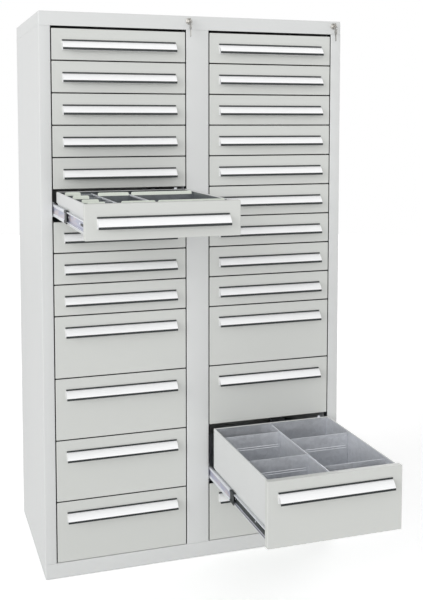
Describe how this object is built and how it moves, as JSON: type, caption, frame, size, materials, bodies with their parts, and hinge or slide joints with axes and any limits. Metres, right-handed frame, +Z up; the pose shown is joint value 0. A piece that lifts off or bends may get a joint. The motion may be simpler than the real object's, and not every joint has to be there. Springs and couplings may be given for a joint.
{
  "type": "drawer cabinet",
  "caption": "Tall two-column industrial drawer cabinet: small drawers over large ones on telescopic slides, hood handles, a key lock per column, two drawers open.",
  "frame": {"origin": "the middle of the cabinet's footprint on the floor, on the underside of the base's middle strip; open drawers aren't counted", "axes": "+Z up; the drawers open towards -Y; +X is the right-hand side seen from the front"},
  "size_m": [1.02, 1.102, 1.8],
  "materials": {
    "carcass_enamel": "satin",
    "drawer_enamel": "satin",
    "zinc_plate": "satin",
    "anodised_handle": "satin",
    "nickel_plate": "polished"
  },
  "bodies": {
    "cabinet": {"left_side_panel": "carcass_enamel", "right_side_panel": "carcass_enamel", "centre_partition": "carcass_enamel", "back_panel": "carcass_enamel", "top_cover": "carcass_enamel", "base_frame": "carcass_enamel", "left_column_left_rack": "zinc_plate", "left_column_right_rack": "zinc_plate", "right_column_left_rack": "zinc_plate", "right_column_right_rack": "zinc_plate", "left_lock_housing": "nickel_plate", "right_lock_housing": "nickel_plate"},
    "left_drawer_01": {"left_drawer_01": "drawer_enamel"},
    "left_drawer_02": {"left_drawer_02": "drawer_enamel"},
    "left_drawer_03": {"left_drawer_03": "drawer_enamel"},
    "left_drawer_04": {"left_drawer_04": "drawer_enamel"},
    "left_drawer_05": {"left_drawer_05": "drawer_enamel"},
    "left_drawer_06": {"left_drawer_06_front": "drawer_enamel", "left_drawer_06_tray": "carcass_enamel", "left_drawer_06_handle": "anodised_handle", "left_drawer_06_dividers": "zinc_plate", "left_drawer_06_left_runner": "zinc_plate", "left_drawer_06_right_runner": "zinc_plate"},
    "left_drawer_06_mid_slide": {"left_drawer_06_left_mid_member": "zinc_plate", "left_drawer_06_right_mid_member": "zinc_plate"},
    "left_drawer_07": {"left_drawer_07": "drawer_enamel"},
    "left_drawer_08": {"left_drawer_08": "drawer_enamel"},
    "left_drawer_09": {"left_drawer_09": "drawer_enamel"},
    "left_drawer_10": {"left_drawer_10": "drawer_enamel"},
    "left_drawer_11": {"left_drawer_11": "drawer_enamel"},
    "left_drawer_12": {"left_drawer_12": "drawer_enamel"},
    "left_drawer_13": {"left_drawer_13": "drawer_enamel"},
    "right_drawer_01": {"right_drawer_01": "drawer_enamel"},
    "right_drawer_02": {"right_drawer_02": "drawer_enamel"},
    "right_drawer_03": {"right_drawer_03": "drawer_enamel"},
    "right_drawer_04": {"right_drawer_04": "drawer_enamel"},
    "right_drawer_05": {"right_drawer_05": "drawer_enamel"},
    "right_drawer_06": {"right_drawer_06": "drawer_enamel"},
    "right_drawer_07": {"right_drawer_07": "drawer_enamel"},
    "right_drawer_08": {"right_drawer_08": "drawer_enamel"},
    "right_drawer_09": {"right_drawer_09": "drawer_enamel"},
    "right_drawer_10": {"right_drawer_10": "drawer_enamel"},
    "right_drawer_11": {"right_drawer_11": "drawer_enamel"},
    "right_drawer_12": {"right_drawer_12_front": "drawer_enamel", "right_drawer_12_tray": "carcass_enamel", "right_drawer_12_handle": "anodised_handle", "right_drawer_12_dividers": "zinc_plate", "right_drawer_12_left_runner": "zinc_plate", "right_drawer_12_right_runner": "zinc_plate"},
    "right_drawer_12_mid_slide": {"right_drawer_12_left_mid_member": "zinc_plate", "right_drawer_12_right_mid_member": "zinc_plate"},
    "right_drawer_13": {"right_drawer_13": "drawer_enamel"},
    "left_lock_plug": {"left_lock_plug_and_key": "nickel_plate"},
    "left_key_ring": {"left_key_ring": "nickel_plate"},
    "left_spare_key": {"left_spare_key": "nickel_plate"},
    "left_locking_bar": {"left_locking_bar": "zinc_plate"},
    "right_lock_plug": {"right_lock_plug_and_key": "nickel_plate"},
    "right_key_ring": {"right_key_ring": "nickel_plate"},
    "right_spare_key": {"right_spare_key": "nickel_plate"},
    "right_locking_bar": {"right_locking_bar": "zinc_plate"}
  },
  "joints": [
    {"name": "left_drawer_01_slide", "type": "slide", "parent": "cabinet", "child": "left_drawer_01", "axis": [0, -1, 0], "range_m": [0, 0.52]},
    {"name": "left_drawer_02_slide", "type": "slide", "parent": "cabinet", "child": "left_drawer_02", "axis": [0, -1, 0], "range_m": [0, 0.52]},
    {"name": "left_drawer_03_slide", "type": "slide", "parent": "cabinet", "child": "left_drawer_03", "axis": [0, -1, 0], "range_m": [0, 0.52]},
    {"name": "left_drawer_04_slide", "type": "slide", "parent": "cabinet", "child": "left_drawer_04", "axis": [0, -1, 0], "range_m": [0, 0.52]},
    {"name": "left_drawer_05_slide", "type": "slide", "parent": "cabinet", "child": "left_drawer_05", "axis": [0, -1, 0], "range_m": [0, 0.52]},
    {"name": "left_drawer_06_slide", "type": "slide", "parent": "cabinet", "child": "left_drawer_06", "axis": [0, -1, 0], "range_m": [-0.52, 0]},
    {"name": "left_drawer_06_mid_slide", "type": "slide", "parent": "cabinet", "child": "left_drawer_06_mid_slide", "axis": [0, -1, 0], "range_m": [-0.26, 0]},
    {"name": "left_drawer_07_slide", "type": "slide", "parent": "cabinet", "child": "left_drawer_07", "axis": [0, -1, 0], "range_m": [0, 0.52]},
    {"name": "left_drawer_08_slide", "type": "slide", "parent": "cabinet", "child": "left_drawer_08", "axis": [0, -1, 0], "range_m": [0, 0.52]},
    {"name": "left_drawer_09_slide", "type": "slide", "parent": "cabinet", "child": "left_drawer_09", "axis": [0, -1, 0], "range_m": [0, 0.52]},
    {"name": "left_drawer_10_slide", "type": "slide", "parent": "cabinet", "child": "left_drawer_10", "axis": [0, -1, 0], "range_m": [0, 0.52]},
    {"name": "left_drawer_11_slide", "type": "slide", "parent": "cabinet", "child": "left_drawer_11", "axis": [0, -1, 0], "range_m": [0, 0.52]},
    {"name": "left_drawer_12_slide", "type": "slide", "parent": "cabinet", "child": "left_drawer_12", "axis": [0, -1, 0], "range_m": [0, 0.52]},
    {"name": "left_drawer_13_slide", "type": "slide", "parent": "cabinet", "child": "left_drawer_13", "axis": [0, -1, 0], "range_m": [0, 0.52]},
    {"name": "right_drawer_01_slide", "type": "slide", "parent": "cabinet", "child": "right_drawer_01", "axis": [0, -1, 0], "range_m": [0, 0.52]},
    {"name": "right_drawer_02_slide", "type": "slide", "parent": "cabinet", "child": "right_drawer_02", "axis": [0, -1, 0], "range_m": [0, 0.52]},
    {"name": "right_drawer_03_slide", "type": "slide", "parent": "cabinet", "child": "right_drawer_03", "axis": [0, -1, 0], "range_m": [0, 0.52]},
    {"name": "right_drawer_04_slide", "type": "slide", "parent": "cabinet", "child": "right_drawer_04", "axis": [0, -1, 0], "range_m": [0, 0.52]},
    {"name": "right_drawer_05_slide", "type": "slide", "parent": "cabinet", "child": "right_drawer_05", "axis": [0, -1, 0], "range_m": [0, 0.52]},
    {"name": "right_drawer_06_slide", "type": "slide", "parent": "cabinet", "child": "right_drawer_06", "axis": [0, -1, 0], "range_m": [0, 0.52]},
    {"name": "right_drawer_07_slide", "type": "slide", "parent": "cabinet", "child": "right_drawer_07", "axis": [0, -1, 0], "range_m": [0, 0.52]},
    {"name": "right_drawer_08_slide", "type": "slide", "parent": "cabinet", "child": "right_drawer_08", "axis": [0, -1, 0], "range_m": [0, 0.52]},
    {"name": "right_drawer_09_slide", "type": "slide", "parent": "cabinet", "child": "right_drawer_09", "axis": [0, -1, 0], "range_m": [0, 0.52]},
    {"name": "right_drawer_10_slide", "type": "slide", "parent": "cabinet", "child": "right_drawer_10", "axis": [0, -1, 0], "range_m": [0, 0.52]},
    {"name": "right_drawer_11_slide", "type": "slide", "parent": "cabinet", "child": "right_drawer_11", "axis": [0, -1, 0], "range_m": [0, 0.52]},
    {"name": "right_drawer_12_slide", "type": "slide", "parent": "cabinet", "child": "right_drawer_12", "axis": [0, -1, 0], "range_m": [-0.52, 0]},
    {"name": "right_drawer_12_mid_slide", "type": "slide", "parent": "cabinet", "child": "right_drawer_12_mid_slide", "axis": [0, -1, 0], "range_m": [-0.26, 0]},
    {"name": "right_drawer_13_slide", "type": "slide", "parent": "cabinet", "child": "right_drawer_13", "axis": [0, -1, 0], "range_m": [0, 0.52]},
    {"name": "left_lock_turn", "type": "hinge", "parent": "cabinet", "child": "left_lock_plug", "pos_m": [-0.029, -0.28, 1.783], "axis": [0, -1, 0], "range_deg": [0, 90]},
    {"name": "left_locking_bar_lift", "type": "slide", "parent": "cabinet", "child": "left_locking_bar", "axis": [0, 0, 1], "range_m": [0, 0.006]},
    {"name": "left_key_ring_swing", "type": "hinge", "parent": "left_lock_plug", "child": "left_key_ring", "pos_m": [-0.029, -0.2996, 1.7816], "axis": [-1, 0, 0], "range_deg": [-5, 60]},
    {"name": "left_spare_key_swing", "type": "hinge", "parent": "left_key_ring", "child": "left_spare_key", "pos_m": [-0.029, -0.2996, 1.7686], "axis": [-1, 0, 0], "range_deg": [-5, 45]},
    {"name": "right_lock_turn", "type": "hinge", "parent": "cabinet", "child": "right_lock_plug", "pos_m": [0.483, -0.28, 1.783], "axis": [0, -1, 0], "range_deg": [0, 90]},
    {"name": "right_locking_bar_lift", "type": "slide", "parent": "cabinet", "child": "right_locking_bar", "axis": [0, 0, 1], "range_m": [0, 0.006]},
    {"name": "right_key_ring_swing", "type": "hinge", "parent": "right_lock_plug", "child": "right_key_ring", "pos_m": [0.483, -0.2996, 1.7816], "axis": [-1, 0, 0], "range_deg": [-5, 60]},
    {"name": "right_spare_key_swing", "type": "hinge", "parent": "right_key_ring", "child": "right_spare_key", "pos_m": [0.483, -0.2996, 1.7686], "axis": [-1, 0, 0], "range_deg": [-5, 45]}
  ],
  "couplings": [
    {"joint": "left_drawer_06_mid_slide", "follows": "left_drawer_06_slide", "ratio": 0.5},
    {"joint": "right_drawer_12_mid_slide", "follows": "right_drawer_12_slide", "ratio": 0.5},
    {"joint": "left_lock_turn", "follows": "left_locking_bar_lift", "rad_per_m": 261.79},
    {"joint": "right_lock_turn", "follows": "right_locking_bar_lift", "rad_per_m": 261.79}
  ]
}
